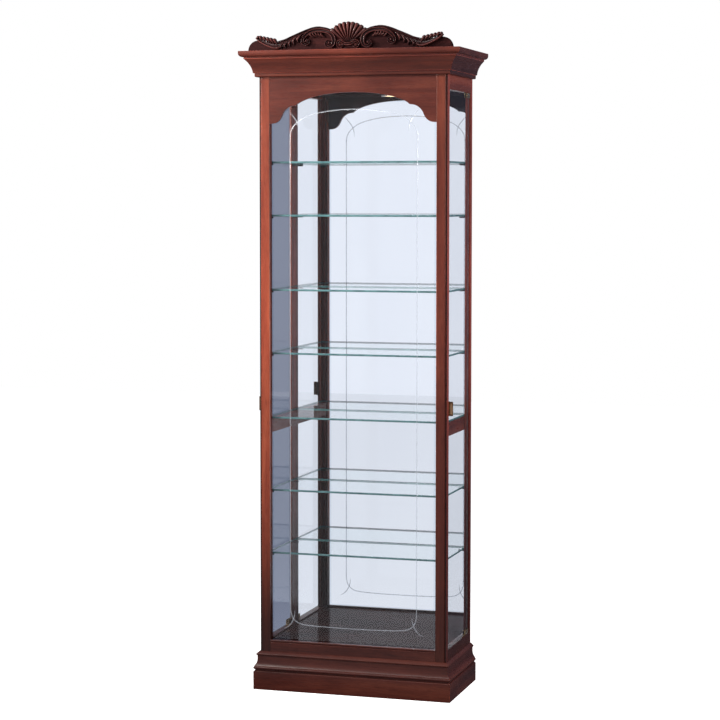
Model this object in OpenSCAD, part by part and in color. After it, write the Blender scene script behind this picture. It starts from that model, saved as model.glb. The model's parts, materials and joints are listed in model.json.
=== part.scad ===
// Curio cabinet with a carved pediment, a fixed arched front glass and two frameless glass side doors.
// Millimetres. +Z is up, the front faces -Y, and the origin is on the floor under the middle.

/* [Case] */
// Width of the case between its mouldings
case_w = 586; // [540:1:700]
// Depth of the case behind the front frame
case_d = 307; // [290:1:420]
// Height of the cornice's top edge
cornice_top = 1940; // [1900:1:2100]
// Height of the carved shell above the cornice
pediment_h = 81; // [70:1:90]

/* [Base] */
// Height of the plinth boards
plinth_h = 57; // [50:1:57]
// How far the plinth stands out from the case
plinth_out = 17.3; // [15:0.1:20]

/* [Shelves] */
// Thickness of each glass shelf
shelf_t = 6; // [5:0.5:10]
// Step between the possible shelf heights
shelf_pitch = 32.2; // [30:0.1:33]

/* [Doors] */
// Thickness of the door glass
door_t = 5; // [4:0.5:5]
// Height of the pull on the door's front edge
pull_h = 43; // [30:1:60]

/* [Hidden] */
$fn = 64;
eps = 0.01;

// Main planes of the case
cornice_out = 49.5;
half_w = case_w / 2;
total_d = case_d + cornice_out;
back_y = total_d / 2;
front_y = back_y - case_d;

// Base
plinth_board_t = 18;

// Front frame
frame_t = 18;
corner_reveal = 4.5;
stile_out = half_w - corner_reveal;
stile_w = 28.5;
stile_in = stile_out - stile_w;
frame_bottom = plinth_h + 3;
roof_t = 18;
frame_top = cornice_top - roof_t;
rabbet_d = 6;
glass_lap = 7;
glass_y = front_y + frame_t - rabbet_d;
glass_t = 5;
rail_bottom = 95;
front_rail_top = 152;
stile_round = 4;
glass_bottom = 142;
glass_stop_w = 7;

// Side frames
side_rail_top = 151;
side_rail_t = 20;
door_opening_top = cornice_top - 120;
post_t = 10;
post_w = 25;
post_in = half_w - post_w;
front_post_back = front_y + frame_t + post_t;
liner_x = half_w - 13;
stop_t = 3.5;
stop_w = 18;
rear_post_d = 20;
rear_post_front = back_y - rear_post_d;
mirror_y = back_y - 7;
back_rebate = 6;
middle_rail_t = 17;
middle_rail_h = 42;

// Panels
floor_top = 147;
floor_t = 18;
ceiling_bottom = door_opening_top + 6;
ceiling_t = 12;
mirror_t = 3;
lamp_hole_r = 38;

// Shelves, as steps above the floor
shelf_steps = [45, 40, 33, 27, 21, 14, 8];
fixed_shelf_step = 21;
fixed_shelf_drop = 3;
shelf_base = floor_top + 9;
fixed_shelf_z = shelf_base + fixed_shelf_step * shelf_pitch - fixed_shelf_drop;
shelf_side_gap = 1;
shelf_front_y = front_post_back + 3;
shelf_back_y = mirror_y - 2;
peg_l = 20;
peg_r = 2.5;

// Doors
door_x = half_w - 5;
pivot_gap = 0.8;
pivot_y = rear_post_front - 6.5;
door_front_y = front_post_back + 2.5;
door_back_y = pivot_y - 2;
door_bottom = side_rail_top + 2;
door_top = door_opening_top - 2;
clip_wall = 1.5;
clip_reach = 40;
clip_h = 15;
pin_r = 2;
pin_l = 9;
running_gap = 0.05;
bush_r = 3.5;
bush_l = 10;
bush_flange_r = 4.5;
pull_bottom = fixed_shelf_z + 24;

// Levelers
leveler_inset = 30;
block_w = 60;
block_h = 45;
stem_r = 4;
stem_l = 45;
foot_r = 13;
foot_h = 5;
insert_r = 5.5;
insert_h = 12;
insert_flange_r = 9;
insert_flange_t = 1.5;

// Pediment
pediment_out = 31;
pediment_y = front_y - pediment_out;
pediment_t = 16;
pediment_half = 316;
scroll_relief = 12;
shell_relief = 16;

// ---- small helpers ----

module slab(lo, hi) {
    translate(lo) cube(hi - lo);
}

module on_left() {
    mirror([1, 0, 0]) children();
}

// A 2D profile drawn as (outwards, up), run along the front and mitred at both front corners
module front_run(out) {
    intersection() {
        translate([-half_w - out, front_y, 0])
            mirror([0, 1, 0])
            rotate([90, 0, 90])
            linear_extrude(case_w + 2 * out)
            children();
        linear_extrude(cornice_top + eps)
            polygon([
                [-half_w, front_y],
                [half_w, front_y],
                [half_w + out, front_y - out],
                [-half_w - out, front_y - out]
            ]);
    }
}

// The same profile run along the right side, mitred at the front and square at the back
module right_run(out) {
    intersection() {
        translate([half_w, back_y, 0])
            rotate([90, 0, 0])
            linear_extrude(case_d + out)
            children();
        linear_extrude(cornice_top + eps)
            polygon([
                [half_w, back_y],
                [half_w, front_y],
                [half_w + out, front_y - out],
                [half_w + out, back_y]
            ]);
    }
}

// Points on an arc, angles in degrees
function arc(cx, cy, r, a0, a1, n) = [
    for (i = [0:n]) [cx + r * cos(a0 + (a1 - a0) * i / n), cy + r * sin(a0 + (a1 - a0) * i / n)]
];

// ---- base ----

module plinth_profile() {
    round_r = 3;
    difference() {
        square([plinth_out, plinth_h]);
        translate([plinth_out - round_r, plinth_h - round_r])
            difference() {
                square(round_r + eps);
                circle(round_r);
            }
    }
}

// Groove, bead, cove, neck and rounded lip between the plinth and the case
module base_moulding_profile() {
    bead_r = 4.3;
    bead_z = plinth_h + 9.2;
    bead_out = plinth_out - bead_r;
    cove_r = 30.7;
    cove_z = plinth_h + 36;
    cove_depth = 15;
    neck_out = 7;
    lip_r = 3.3;
    lip_z = plinth_h + 50.5;
    top_z = plinth_h + 60;
    translate([bead_out, bead_z]) circle(bead_r);
    translate([0, plinth_h]) square([bead_out, bead_z + bead_r - plinth_h]);
    difference() {
        translate([0, bead_z]) square([cove_depth, cove_z - bead_z]);
        translate([neck_out + cove_r, cove_z]) circle(cove_r);
    }
    translate([0, cove_z - eps]) square([neck_out, lip_z - cove_z]);
    translate([neck_out, lip_z]) circle(lip_r);
    polygon([
        [0, lip_z - 2],
        [neck_out, lip_z - 2],
        [neck_out + 1.5, lip_z + 2.9],
        [3, top_z - 1],
        [0, top_z]
    ]);
}

module plinth_front() {
    color("saddlebrown") front_run(plinth_out) plinth_profile();
}

module plinth_right() {
    color("sienna") right_run(plinth_out) plinth_profile();
}

module plinth_left() {
    on_left() plinth_right();
}

module plinth_back() {
    color("peru") slab([-half_w, back_y - plinth_board_t, 0], [half_w, back_y, plinth_h]);
}

module base_moulding_front() {
    color("brown") front_run(plinth_out) base_moulding_profile();
}

module base_moulding_right() {
    color("firebrick") right_run(plinth_out) base_moulding_profile();
}

module base_moulding_left() {
    on_left() base_moulding_right();
}

// The four places where a leveler stands, in the corners inside the plinth
leveler_x = half_w - leveler_inset;
leveler_front_y = front_y + leveler_inset;
leveler_rear_y = back_y - plinth_board_t - leveler_inset;
block_top = frame_bottom;
block_bottom = block_top - block_h;

module each_corner() {
    for (x = [-leveler_x, leveler_x])
        for (y = [leveler_front_y, leveler_rear_y])
            translate([x, y, 0]) children();
}

module corner_blocks() {
    stem_hole_r = stem_r + 0.6;
    color("burlywood") each_corner()
        difference() {
            translate([-block_w / 2, -block_w / 2, block_bottom]) cube([block_w, block_w, block_h]);
            translate([0, 0, block_bottom - eps]) cylinder(r = insert_r, h = insert_h + eps);
            translate([0, 0, block_bottom]) cylinder(r = stem_hole_r, h = block_h - 2);
        }
}

module leveler_inserts() {
    color("silver") each_corner()
        difference() {
            union() {
                translate([0, 0, block_bottom]) cylinder(r = insert_r, h = insert_h);
                translate([0, 0, block_bottom - insert_flange_t])
                    cylinder(r = insert_flange_r, h = insert_flange_t);
            }
            translate([0, 0, block_bottom - insert_flange_t - 1])
                cylinder(r = stem_r + running_gap, h = insert_h + insert_flange_t + 2);
        }
}

module leveler() {
    hub_r = 7;
    hub_h = 3;
    color("dimgray") {
        cylinder(r = foot_r, h = foot_h);
        translate([0, 0, foot_h]) cylinder(r = hub_r, h = hub_h);
        cylinder(r = stem_r, h = foot_h + stem_l);
    }
}

module leveler_front_left() {
    translate([-leveler_x, leveler_front_y, 0]) leveler();
}

module leveler_front_right() {
    translate([leveler_x, leveler_front_y, 0]) leveler();
}

module leveler_rear_left() {
    translate([-leveler_x, leveler_rear_y, 0]) leveler();
}

module leveler_rear_right() {
    translate([leveler_x, leveler_rear_y, 0]) leveler();
}

// ---- front frame ----

// Plan of the right stile: rounded outer front edge and a rabbet for the glass behind
module stile_plan() {
    difference() {
        union() {
            translate([stile_in, front_y]) square([stile_w - stile_round, frame_t]);
            translate([stile_in, front_y + stile_round]) square([stile_w, frame_t - stile_round]);
            translate([stile_out - stile_round, front_y + stile_round]) circle(stile_round);
        }
        translate([stile_in - eps, glass_y]) square([glass_lap + 1, rabbet_d + eps]);
    }
}

module front_stile_right() {
    color("indianred")
        translate([0, 0, frame_bottom]) linear_extrude(frame_top - frame_bottom) stile_plan();
}

module front_stile_left() {
    on_left() front_stile_right();
}

// Flat rail with a bead along its top edge; the glass stands in the rabbet behind
module front_bottom_rail() {
    bead_r = 3;
    quirk = 1.5;
    color("brown") {
        slab([-stile_in, front_y, rail_bottom], [stile_in, glass_y, front_rail_top - 2 * bead_r - quirk]);
        slab([-stile_in, front_y + quirk, rail_bottom], [stile_in, glass_y, front_rail_top]);
        slab([-stile_in, front_y, rail_bottom], [stile_in, front_y + frame_t, floor_top - floor_t]);
        translate([-stile_in, front_y + bead_r, front_rail_top - bead_r])
            rotate([0, 90, 0])
            cylinder(r = bead_r, h = 2 * stile_in);
    }
}

// Half of the arch's lower edge: shallow main arc, cusp, then an ogee down to a flat foot
arch_top = cornice_top - 125;
arch_cusp_x = 178;
arch_cusp_z = arch_top - 38;
arch_foot_x = stile_in - 7;
arch_foot_z = arch_top - 91;
arch_half_x = 185;
arch_rise = 52.2;
shoulder_r = 43;
foot_curve_r = 33;
ogee_angle = 17.5;
arch_half = concat(
    [for (i = [0:14]) let (a = 90 - i * 74.2 / 14)
        [arch_half_x * cos(a), arch_top - arch_rise + arch_rise * sin(a)]],
    arc(arch_cusp_x + 2, arch_cusp_z - shoulder_r, shoulder_r, 90, ogee_angle, 8),
    arc(arch_foot_x, arch_foot_z + foot_curve_r, foot_curve_r, 180 + ogee_angle, 270, 8),
    [[stile_in, arch_foot_z]]
);

module arched_top_rail() {
    n = len(arch_half);
    color("chocolate")
        translate([0, glass_y, 0])
        rotate([90, 0, 0])
        linear_extrude(frame_t - rabbet_d)
        polygon(concat(
            [[-stile_in, frame_top]],
            [for (i = [n - 1:-1:1]) [-arch_half[i][0], arch_half[i][1]]],
            arch_half,
            [[stile_in, frame_top]]
        ));
}

module front_glass() {
    glass_half = stile_in + glass_lap;
    color("lightcyan", 0.4)
        slab([-glass_half, glass_y, glass_bottom], [glass_half, glass_y + glass_t, ceiling_bottom]);
}

// Wooden beads that hold the glass against the stiles
module glass_stops() {
    stop_y = glass_y + glass_t;
    color("sandybrown")
        for (x = [-stile_in - glass_stop_w, stile_in])
            slab([x, stop_y, side_rail_top], [x + glass_stop_w, stop_y + glass_stop_w, door_opening_top]);
}

// ---- side frames ----

// Corner post behind the front stile; its lip fills the side of the corner
module front_post_right() {
    color("darksalmon") {
        slab([post_in, front_y + frame_t, frame_bottom], [half_w, front_post_back, frame_top]);
        slab([stile_out, front_y + stile_round, frame_bottom], [half_w, front_post_back, frame_top]);
    }
}

module front_post_left() {
    on_left() front_post_right();
}

// Rear post, rebated at the back for the mirror and the back panel
module rear_post_right() {
    color("darksalmon") {
        slab([liner_x, rear_post_front, frame_bottom], [half_w, mirror_y, frame_top]);
        slab([half_w - back_rebate, rear_post_front, frame_bottom], [half_w, back_y, frame_top]);
    }
}

module rear_post_left() {
    on_left() rear_post_right();
}

// Thin strips along the posts, which the doors close against
module door_stops() {
    color("tan")
        for (m = [0, 1])
            mirror([m, 0, 0])
            for (y = [front_post_back, rear_post_front - stop_w])
                slab([liner_x, y, side_rail_top], [liner_x + stop_t, y + stop_w, door_opening_top]);
}

module bush_hole(z) {
    translate([door_x, pivot_y, z]) cylinder(r = bush_r, h = bush_l + eps);
}

module side_top_rail_right() {
    color("rosybrown")
        difference() {
            slab([half_w - side_rail_t, front_post_back, door_opening_top],
                 [half_w, rear_post_front, frame_top]);
            bush_hole(door_opening_top - eps);
        }
}

module side_top_rail_left() {
    on_left() side_top_rail_right();
}

module side_bottom_rail_right() {
    color("rosybrown")
        difference() {
            slab([half_w - side_rail_t, front_post_back, rail_bottom],
                 [half_w, rear_post_front, side_rail_top]);
            bush_hole(side_rail_top - bush_l);
        }
}

module side_bottom_rail_left() {
    on_left() side_bottom_rail_right();
}

module side_middle_rail_right() {
    color("indianred")
        slab([liner_x - middle_rail_t, front_post_back, fixed_shelf_z - middle_rail_h],
             [liner_x, mirror_y, fixed_shelf_z]);
}

module side_middle_rail_left() {
    on_left() side_middle_rail_right();
}

// ---- panels ----

// Board between the side rails; its front end narrows to pass between the corner posts
module inner_panel(z, t, half) {
    slab([-half, front_post_back, z], [half, mirror_y, z + t]);
    slab([-post_in, front_y + frame_t, z], [post_in, front_post_back + eps, z + t]);
}

module floor_panel() {
    color("maroon") inner_panel(floor_top - floor_t, floor_t, half_w - side_rail_t);
}

module ceiling_panel() {
    color("maroon")
        difference() {
            inner_panel(ceiling_bottom, ceiling_t, half_w - side_rail_t);
            translate([0, 0, ceiling_bottom - 1]) cylinder(r = lamp_hole_r, h = ceiling_t + 2);
        }
}

module roof_panel() {
    color("sienna") slab([-half_w, front_y, frame_top], [half_w, back_y, cornice_top]);
}

module top_back_rail() {
    color("peru")
        slab([-liner_x, rear_post_front, ceiling_bottom + ceiling_t], [liner_x, mirror_y, frame_top]);
}

back_half = half_w - back_rebate - 0.5;

module mirror_pane() {
    slab([-back_half, mirror_y, floor_top - floor_t],
         [back_half, mirror_y + mirror_t, ceiling_bottom + ceiling_t]);
}

module mirror_node() {
    color("aliceblue") mirror_pane();
}

module back_panel() {
    color("khaki")
        slab([-back_half, mirror_y + mirror_t, frame_bottom], [back_half, back_y, frame_top]);
}

// ---- cornice ----

// Fascia with a rounded lower edge, fillet, large cove and a small rounded foot
module cornice_profile() {
    fascia_r = 11;
    fascia_out = cornice_out - fascia_r;
    fascia_z = cornice_top - 7;
    fillet_out = 36.5;
    fillet_z = cornice_top - 23;
    fillet_h = 6;
    cove_r = 64.6;
    cove_out = 14;
    cove_z = cornice_top - 72;
    foot_out = 10.5;
    foot_r = 3.5;
    foot_z = cornice_top - 65;
    bottom_z = cornice_top - 76.5;
    translate([0, fascia_z]) square([cornice_out, cornice_top - fascia_z]);
    translate([0, fascia_z - fascia_r]) square([fascia_out, fascia_r + eps]);
    intersection() {
        translate([fascia_out, fascia_z]) circle(fascia_r);
        translate([0, fascia_z - fascia_r]) square([cornice_out, fascia_r + eps]);
    }
    difference() {
        translate([0, foot_z]) square([fillet_out, fillet_z + fillet_h - foot_z]);
        translate([cove_out + cove_r, cove_z]) circle(cove_r);
    }
    translate([0, fillet_z]) square([fillet_out, fillet_h]);
    translate([0, bottom_z]) square([foot_out - foot_r, foot_z - bottom_z + eps]);
    translate([0, bottom_z + foot_r]) square([foot_out, foot_z - bottom_z - foot_r + eps]);
    translate([foot_out - foot_r, bottom_z + foot_r]) circle(foot_r);
}

module cornice_front() {
    color("firebrick") front_run(cornice_out) cornice_profile();
}

module cornice_right() {
    color("brown") right_run(cornice_out) cornice_profile();
}

module cornice_left() {
    on_left() cornice_right();
}

// ---- pediment ----

ear_w = 31;
ear_h = 31;
saddle_x = 232;
saddle_h = 25;
crest_x = 95;
crest_h = 69;
neck_x = 50;
neck_h = 60;

function smooth(t) = t * t * (3 - 2 * t);

function blend(x, x0, x1, h0, h1) = h0 + (h1 - h0) * smooth((x - x0) / (x1 - x0));

// Height of the board's top edge over the cornice, from the middle (x = 0) outwards
ear_x = pediment_half - ear_w;

function board_top(x) =
    x < neck_x ? neck_h :
    x < crest_x ? blend(x, neck_x, crest_x, neck_h, crest_h) :
    x < saddle_x ? blend(x, crest_x, saddle_x, crest_h, saddle_h) :
    x < ear_x ? blend(x, saddle_x, ear_x, saddle_h, ear_h) :
    ear_h * sqrt(max(0, 1 - pow((x - ear_x) / ear_w, 2)));

board_steps = 48;
board_xs = [for (i = [0:board_steps]) pediment_half * sin(90 * i / board_steps)];

// A flat shape in the board's front plane, given a thickness towards the front
module raised(t) {
    translate([0, pediment_y, cornice_top])
        rotate([90, 0, 0])
        linear_extrude(t)
        children();
}

module pediment_board() {
    color("maroon")
        translate([0, pediment_t, 0])
        raised(pediment_t)
        polygon(concat(
            [for (i = [board_steps:-1:0]) [-board_xs[i], board_top(board_xs[i])]],
            [for (i = [1:board_steps]) [board_xs[i], board_top(board_xs[i])]]
        ));
}

// Scallop shell: a fan of rounded flutes over a base with a volute at each end
flute_count = 9;
flute_angle = 13.6;
flute_tip = 5;
shell_foot_h = 22;
shell_r = pediment_h - shell_foot_h - flute_tip;
shell_spread = 0.12;
volute_x = 21;
volute_z = 13;
volute_r = 11;
flute_steps = 8;

// Distance of the shell's edge from its foot, in a direction a (degrees from upright)
function shell_reach(a) =
    let (t = a / flute_angle, side = 2 * (t - round(t)))
    shell_r * (1 + shell_spread * pow(2 * t / flute_count, 2))
    + flute_tip * sqrt(max(0, 1 - side * side));

shell_half = concat(
    [for (i = [0:flute_count * flute_steps / 2]) let (a = i * flute_angle / flute_steps)
        [shell_reach(a) * sin(a), shell_foot_h + shell_reach(a) * cos(a)]],
    arc(volute_x, volute_z, volute_r, 30, -90, 10)
);

module pediment_shell() {
    color("crimson")
        raised(shell_relief)
        polygon(concat(
            shell_half,
            [for (i = [len(shell_half) - 1:-1:1]) [-shell_half[i][0], shell_half[i][1]]]
        ));
}

// Acanthus scroll: outer leaf, rising stem, hanging curl and inner volute
stem_w = 24;
stem_inner_x = 60;
stem_outer_x = 276;
stem_steps = 30;
leaf_x = 284;
leaf_z = 35;
leaf_r = 8;
leaf_foot_x = 250;
curl_x = 134;
curl_z = 34;
curl_r = 15;
inner_x = 68;
inner_z = 22;
inner_r = 18;

function stem_point(x, below) = [x, max(3, board_top(x) + 1 - below)];

module pediment_scroll_right() {
    color("orangered")
        raised(scroll_relief)
        polygon(concat(
            [for (i = [0:stem_steps])
                stem_point(stem_inner_x + (stem_outer_x - stem_inner_x) * i / stem_steps, 0)],
            arc(leaf_x, leaf_z, leaf_r, 100, -60, 6),
            [for (i = [0:10]) stem_point(leaf_foot_x + (curl_x + curl_r - leaf_foot_x) * i / 10, stem_w)],
            arc(curl_x, curl_z, curl_r, -20, -160, 8),
            [stem_point((curl_x + inner_x) / 2, stem_w)],
            arc(inner_x, inner_z, inner_r, 40, -225, 14)
        ));
}

module pediment_scroll_left() {
    on_left() pediment_scroll_right();
}

// ---- shelves ----

function shelf_z(step) = step == fixed_shelf_step ? fixed_shelf_z : shelf_base + step * shelf_pitch;

module shelf(i) {
    z = shelf_z(shelf_steps[i]);
    half = liner_x - shelf_side_gap;
    color("paleturquoise", 0.5)
        slab([-half, shelf_front_y, z], [half, shelf_back_y, z + shelf_t]);
}

module shelf_1() { shelf(0); }
module shelf_2() { shelf(1); }
module shelf_3() { shelf(2); }
module shelf_4() { shelf(3); }
module shelf_5() { shelf(4); }
module shelf_6() { shelf(5); }
module shelf_7() { shelf(6); }

// Round rubber-sleeved pegs under every shelf but the one on the middle rails
module shelf_clips() {
    front_row = front_post_back + 8;
    rear_row = rear_post_front - 10;
    color("black")
        for (step = shelf_steps)
            if (step != fixed_shelf_step)
                for (m = [0, 1])
                    mirror([m, 0, 0])
                    for (y = [front_row, rear_row])
                        translate([liner_x, y, shelf_z(step) - peg_r])
                            rotate([0, -90, 0])
                            cylinder(r = peg_r, h = peg_l);
}

// ---- lamp ----

can_r = lamp_hole_r - 2;
can_wall = 1.2;
can_top = frame_top - 14;
can_ring_r = lamp_hole_r + 7;
can_ring_t = 3;
bulb_r = 24;
bulb_neck_r = 12;
bulb_z = ceiling_bottom + 26;

// Open canister with a flange that covers the edge of the hole in the ceiling
module lamp_can() {
    can_bottom = ceiling_bottom - can_ring_t;
    color("gainsboro")
        difference() {
            union() {
                translate([0, 0, can_bottom]) cylinder(r = can_r, h = can_top - can_bottom);
                translate([0, 0, can_bottom]) cylinder(r = can_ring_r, h = can_ring_t);
            }
            translate([0, 0, can_bottom - 1])
                cylinder(r = can_r - can_wall, h = can_top - can_wall - can_bottom + 1);
        }
}

module lamp_bulb() {
    color("lightyellow")
        translate([0, 0, bulb_z]) {
            sphere(bulb_r);
            cylinder(r = bulb_neck_r, h = can_top - can_wall - bulb_z);
        }
}

// ---- doors ----

// Flanged bush for a door pin, standing on its flange's face and reaching down into the rail
module bush() {
    flange_t = pivot_gap / 2;
    difference() {
        union() {
            translate([0, 0, -bush_l]) cylinder(r = bush_r, h = bush_l);
            cylinder(r = bush_flange_r, h = flange_t);
        }
        translate([0, 0, -bush_l - 1]) cylinder(r = pin_r + running_gap, h = bush_l + flange_t + 2);
    }
}

module hinge_bushes() {
    color("gold")
        for (m = [0, 1])
            mirror([m, 0, 0]) {
                translate([door_x, pivot_y, side_rail_top]) bush();
                translate([door_x, pivot_y, door_opening_top]) mirror([0, 0, 1]) bush();
            }
}

module right_door_glass() {
    color("lightcyan", 0.5)
        slab([door_x - door_t / 2, door_front_y, door_bottom], [door_x + door_t / 2, door_back_y, door_top]);
}

module left_door_glass() {
    on_left() right_door_glass();
}

// Plan of a pivot clip: a channel round the glass with a rounded rear end about the pivot
module clip_plan() {
    half = door_t / 2 + clip_wall;
    translate([door_x - half, pivot_y - clip_reach]) square([2 * half, clip_reach]);
    translate([door_x, pivot_y]) circle(half);
}

module right_door_clips() {
    low = side_rail_top + pivot_gap;
    high = door_opening_top - pivot_gap;
    color("gold") {
        difference() {
            translate([0, 0, low]) linear_extrude(clip_h) clip_plan();
            right_door_glass();
        }
        translate([door_x, pivot_y, low - pin_l]) cylinder(r = pin_r, h = pin_l + eps);
        difference() {
            translate([0, 0, high - clip_h]) linear_extrude(clip_h) clip_plan();
            right_door_glass();
        }
        translate([door_x, pivot_y, high - eps]) cylinder(r = pin_r, h = pin_l + eps);
    }
}

module left_door_clips() {
    on_left() right_door_clips();
}

// Channel on the glass's front edge with a finger lip that stands out past the case
module right_door_pull() {
    wall = 1.2;
    leg = 15;
    lip_out = 12;
    lip_t = 1.6;
    half = door_t / 2 + wall;
    color("goldenrod")
        difference() {
            union() {
                slab([door_x - half, door_front_y - wall, pull_bottom],
                     [door_x + half, door_front_y + leg, pull_bottom + pull_h]);
                slab([door_x, door_front_y - wall, pull_bottom],
                     [door_x + half + lip_out, door_front_y - wall + lip_t, pull_bottom + pull_h]);
                translate([door_x + half + lip_out, door_front_y - wall + lip_t, pull_bottom])
                    cylinder(r = lip_t, h = pull_h);
            }
            right_door_glass();
        }
}

module left_door_pull() {
    on_left() right_door_pull();
}

// ---- placement: every node stands in its own place ----

plinth_front();
plinth_left();
plinth_right();
plinth_back();
base_moulding_front();
base_moulding_left();
base_moulding_right();
corner_blocks();
leveler_inserts();
leveler_front_left();
leveler_front_right();
leveler_rear_left();
leveler_rear_right();
front_stile_left();
front_stile_right();
front_bottom_rail();
arched_top_rail();
front_glass();
glass_stops();
front_post_left();
front_post_right();
rear_post_left();
rear_post_right();
door_stops();
side_top_rail_left();
side_top_rail_right();
side_middle_rail_left();
side_middle_rail_right();
side_bottom_rail_left();
side_bottom_rail_right();
floor_panel();
ceiling_panel();
roof_panel();
top_back_rail();
back_panel();
mirror_node();  // mirror
cornice_front();
cornice_left();
cornice_right();
pediment_board();
pediment_shell();
pediment_scroll_left();
pediment_scroll_right();
shelf_1();
shelf_2();
shelf_3();
shelf_4();
shelf_5();
shelf_6();
shelf_7();
shelf_clips();
lamp_can();
lamp_bulb();
hinge_bushes();
right_door_glass();
right_door_clips();
right_door_pull();
left_door_glass();
left_door_clips();
left_door_pull();
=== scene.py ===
"""Looks of the curio cabinet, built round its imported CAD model. Metres, +Z up, front towards -Y."""

import json
import math

import bmesh
import bpy
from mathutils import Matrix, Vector


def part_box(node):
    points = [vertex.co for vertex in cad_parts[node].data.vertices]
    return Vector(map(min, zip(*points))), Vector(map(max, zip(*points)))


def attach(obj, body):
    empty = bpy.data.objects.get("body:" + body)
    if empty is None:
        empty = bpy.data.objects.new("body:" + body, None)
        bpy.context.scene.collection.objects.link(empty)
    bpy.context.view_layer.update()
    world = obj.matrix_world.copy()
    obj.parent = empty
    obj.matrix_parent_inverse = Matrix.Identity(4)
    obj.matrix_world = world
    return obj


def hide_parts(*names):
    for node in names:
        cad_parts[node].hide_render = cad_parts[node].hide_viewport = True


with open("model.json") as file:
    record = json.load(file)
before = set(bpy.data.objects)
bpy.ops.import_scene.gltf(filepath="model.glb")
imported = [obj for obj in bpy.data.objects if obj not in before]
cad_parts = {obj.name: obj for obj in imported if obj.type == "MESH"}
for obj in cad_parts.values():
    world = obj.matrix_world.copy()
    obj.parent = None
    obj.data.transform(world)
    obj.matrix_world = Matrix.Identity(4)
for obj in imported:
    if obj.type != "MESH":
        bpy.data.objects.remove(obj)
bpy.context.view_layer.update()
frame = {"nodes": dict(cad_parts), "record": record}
NODES = frame["nodes"]
RECORD = frame["record"]
BODY_OF = {node: body for body, members in RECORD["behaviour"]["bodies"].items() for node in members}
MM = 0.001
SCENE = bpy.context.scene

# A face looks along an axis when this much of its normal lies on it
FACING = 0.9
# Points of a CAD mesh closer than this are one point, and faces that turn less than this are one face
SAME_POINT = 0.01 * MM
SAME_FACE = math.radians(0.6)


# ---- meshes ----


def new_piece(name, bm, materials, body="case", replaces=(), smooth=True):
    """Turns a bmesh into a named piece that rides on a body."""
    mesh = bpy.data.meshes.new(name)
    bm.to_mesh(mesh)
    bm.free()
    for polygon in mesh.polygons:
        polygon.use_smooth = smooth
    piece = bpy.data.objects.new(name, mesh)
    SCENE.collection.objects.link(piece)
    for material in materials:
        mesh.materials.append(material)
    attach(piece, body)
    if replaces:
        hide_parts(*replaces)
    return piece


def round_edges(piece, radius, segments=2, angle=30, edge_material=-1):
    """Rounds the edges that turn more than angle degrees and keeps flat faces flat in shading."""
    bevel = piece.modifiers.new("arris", "BEVEL")
    bevel.width = radius
    bevel.segments = segments
    bevel.limit_method = "ANGLE"
    bevel.angle_limit = math.radians(angle)
    bevel.material = edge_material
    bevel.use_clamp_overlap = True
    normals = piece.modifiers.new("flat faces", "WEIGHTED_NORMAL")
    normals.weight = 100
    normals.keep_sharp = False
    return piece


def solid_of(node):
    """A bmesh of a CAD node with its triangles merged back into flat faces."""
    bm = bmesh.new()
    bm.from_mesh(NODES[node].data)
    bmesh.ops.remove_doubles(bm, verts=bm.verts, dist=SAME_POINT)
    bmesh.ops.dissolve_limit(bm, angle_limit=SAME_FACE, verts=bm.verts, edges=bm.edges, delimit=set())
    bmesh.ops.recalc_face_normals(bm, faces=bm.faces)
    return bm


def loose_parts(node):
    """Centre and half size of each separate solid of a CAD node, from low to high and left to right."""
    bm = solid_of(node)
    waiting = set(bm.verts)
    boxes = []
    while waiting:
        reached = [waiting.pop()]
        for vertex in reached:
            for edge in vertex.link_edges:
                other = edge.other_vert(vertex)
                if other in waiting:
                    waiting.remove(other)
                    reached.append(other)
        low = [min(v.co[i] for v in reached) for i in range(3)]
        high = [max(v.co[i] for v in reached) for i in range(3)]
        boxes.append((Vector(low), Vector(high)))
    bm.free()
    boxes.sort(key=lambda box: (round(box[0].z, 4), round(box[0].x, 4), round(box[0].y, 4)))
    return [((low + high) / 2, (high - low) / 2) for low, high in boxes]


def finished(
    node, materials, radius=0.8 * MM, segments=2, edge_material=-1, back_material=0, front_material=0
):
    """Stands in for a CAD node with the same shape, its sharp edges eased.

    edge_material, back_material and front_material say which of the materials its eased edges and its
    faces that look back and forward have. An edge_material of -1 leaves each edge as its faces are."""
    bm = solid_of(node)
    for face in bm.faces:
        face.normal_update()
        if face.normal.y > FACING:
            face.material_index = back_material
        if face.normal.y < -FACING:
            face.material_index = front_material
    piece = new_piece(node + "_body", bm, materials, BODY_OF[node], (node,))
    return round_edges(piece, radius, segments, edge_material=edge_material)


def add_box(bm, low, high, material=0):
    """Adds a closed box to a bmesh and returns its faces."""
    corners = []
    for z in (low[2], high[2]):
        for y in (low[1], high[1]):
            for x in (low[0], high[0]):
                corners.append(bm.verts.new((x, y, z)))
    sides = ((0, 2, 3, 1), (4, 5, 7, 6), (0, 1, 5, 4), (2, 6, 7, 3), (0, 4, 6, 2), (1, 3, 7, 5))
    faces = [bm.faces.new([corners[i] for i in side]) for side in sides]
    for face in faces:
        face.material_index = material
    return faces


def lathe(bm, profile, centre, axis="Z", steps=32, material=0):
    """Turns a profile of (radius, height) points about an axis through centre."""
    rings = []
    for radius, height in profile:
        ring = []
        for i in range(steps):
            a = 2 * math.pi * i / steps
            p = (radius * math.cos(a), radius * math.sin(a), height)
            if axis == "X":
                p = (p[2], p[0], p[1])
            if axis == "Y":
                p = (p[1], p[2], p[0])
            ring.append(bm.verts.new(Vector(centre) + Vector(p)))
        rings.append(ring)
    for low, high in zip(rings, rings[1:]):
        for i in range(steps):
            j = (i + 1) % steps
            bm.faces.new((low[i], low[j], high[j], high[i])).material_index = material
    bm.faces.new(rings[0][::-1]).material_index = material
    bm.faces.new(rings[-1]).material_index = material


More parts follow.
